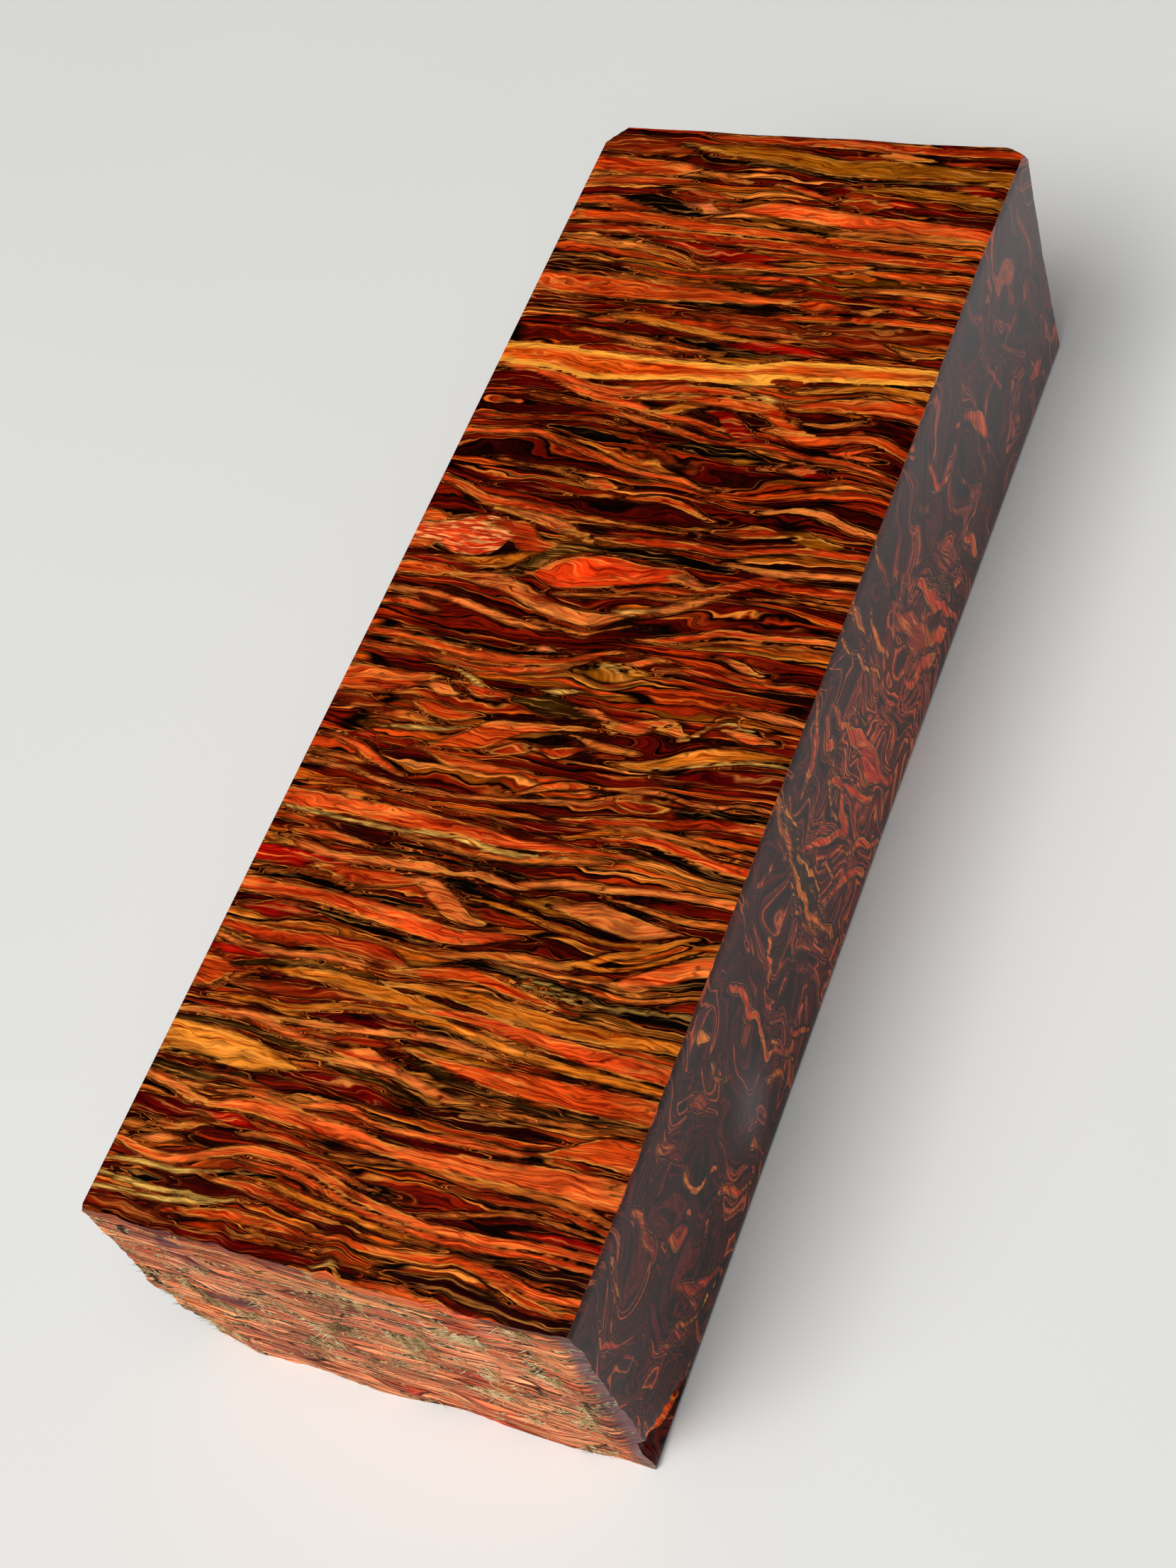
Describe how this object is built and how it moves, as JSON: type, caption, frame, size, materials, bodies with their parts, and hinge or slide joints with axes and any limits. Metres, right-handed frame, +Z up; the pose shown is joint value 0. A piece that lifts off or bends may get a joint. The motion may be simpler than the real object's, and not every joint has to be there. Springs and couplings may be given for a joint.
{
  "type": "stabilised wood resin block",
  "caption": "Rectangular bar of dyed wood strands pressed together in resin, with sanded long faces and rough saw-cut ends.",
  "frame": {"origin": "middle of the bottom face, on the surface that the block lies on", "axes": "+Z up, +Y along the bar from the rougher saw-cut end to the far end, +X out of the right-hand sanded side"},
  "size_m": [0.046, 0.1299, 0.0287],
  "materials": {
    "stabilised_wood": "sanded and polished long faces, rough saw-cut ends"
  },
  "bodies": {
    "root": {"block": "stabilised_wood"}
  },
  "joints": []
}
